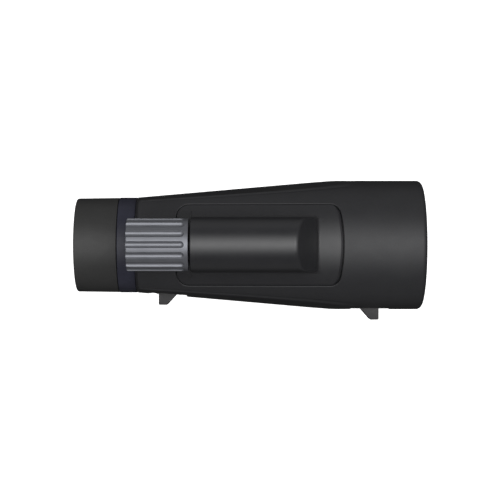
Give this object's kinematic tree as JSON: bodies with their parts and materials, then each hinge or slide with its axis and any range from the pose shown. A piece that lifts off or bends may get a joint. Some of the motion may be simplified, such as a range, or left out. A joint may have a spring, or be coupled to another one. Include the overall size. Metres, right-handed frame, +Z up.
{
  "type": "spotting scope",
  "caption": "Compact straight-through spotting scope with armoured body, top focus knob, twist-up eyecup, strap lugs and a tripod socket.",
  "frame": {"origin": "mouth of the tripod socket, on the flat face of the foot under the body", "axes": "+X along the optical axis from the eyepiece to the objective, +Y to the user's left, +Z up through the focus knob"},
  "size_m": [0.1443, 0.0582, 0.0721],
  "materials": {
    "armor_rubber": "matt black moulded armour",
    "chassis_alloy": "black anodised, blackened inside",
    "bridge_shell": "satin black",
    "knob_grey": "satin grey with a faint blue cast",
    "collar_blue": "satin blue black",
    "lug_grey": "satin dark grey",
    "cup_rubber": "soft matt black",
    "black_metal": "optical black",
    "black_plastic": "matt black",
    "lens_glass": "multi coated",
    "prism_glass": "polished",
    "steel": "bright",
    "black_steel": "black oxide",
    "brass": "turned",
    "seal_rubber": "smooth"
  },
  "bodies": {
    "scope_body": {"chassis": "chassis_alloy", "objective_tube": "chassis_alloy", "rubber_armor": "armor_rubber", "focus_bridge": "bridge_shell", "bridge_screws": "steel", "objective_cell": "black_metal", "objective_front_lens": "lens_glass", "objective_rear_lens": "lens_glass", "objective_retaining_ring": "black_metal", "objective_o_ring": "seal_rubber", "baffle_ring": "black_metal", "prism_cage": "black_plastic", "roof_prism": "prism_glass", "half_penta_prism": "prism_glass", "prism_clamp": "steel", "prism_screws": "steel", "eyepiece_barrel": "black_metal", "eyepiece_collar": "collar_blue", "eye_lens": "lens_glass", "doublet_rear_lens": "lens_glass", "doublet_front_lens": "lens_glass", "field_lens": "lens_glass", "field_stop": "black_metal", "eyepiece_spacer": "black_plastic", "eyepiece_retaining_ring": "black_metal", "eyepiece_o_ring": "seal_rubber", "rear_strap_lug": "lug_grey", "front_strap_lug": "lug_grey", "lug_screws": "black_steel", "tripod_foot": "bridge_shell", "tripod_insert": "brass", "foot_screws": "black_steel", "focus_bushing": "black_steel", "focus_shaft_o_ring": "seal_rubber", "focus_end_bearing": "brass", "guide_rods": "steel"},
    "focus_knob": {"knob_grip": "knob_grey", "knob_hub": "black_plastic", "knob_cap": "knob_grey", "knob_screw": "steel", "focus_screw": "black_steel"},
    "focus_carriage": {"focus_arm": "chassis_alloy", "focus_lens_cell": "black_metal", "focus_lens": "lens_glass", "focus_lens_ring": "black_metal"},
    "twist_ring": {"click_ring": "black_metal", "detent_ball": "steel"},
    "eyecup": {"eyecup_sleeve": "black_plastic", "eyecup_rubber": "cup_rubber"}
  },
  "joints": [
    {"name": "focus_knob_spin", "type": "hinge", "parent": "scope_body", "child": "focus_knob", "pos_m": [-0.037, 0, 0.061], "axis": [-1, 0, 0], "range_deg": [-240, 240]},
    {"name": "focus_carriage_slide", "type": "slide", "parent": "scope_body", "child": "focus_carriage", "axis": [1, 0, 0], "range_m": [-0.0021, 0.0021]},
    {"name": "eyecup_twist", "type": "hinge", "parent": "scope_body", "child": "twist_ring", "pos_m": [-0.062, 0, 0.0295], "axis": [-1, 0, 0], "range_deg": [0, 100]},
    {"name": "eyecup_extend", "type": "slide", "parent": "twist_ring", "child": "eyecup", "axis": [-1, 0, 0], "range_m": [0, 0.0091]}
  ],
  "couplings": [
    {"joint": "focus_carriage_slide", "follows": "focus_knob_spin", "m_per_rad": 0.00047746},
    {"joint": "eyecup_extend", "follows": "eyecup_twist", "m_per_rad": 0.0051566}
  ]
}
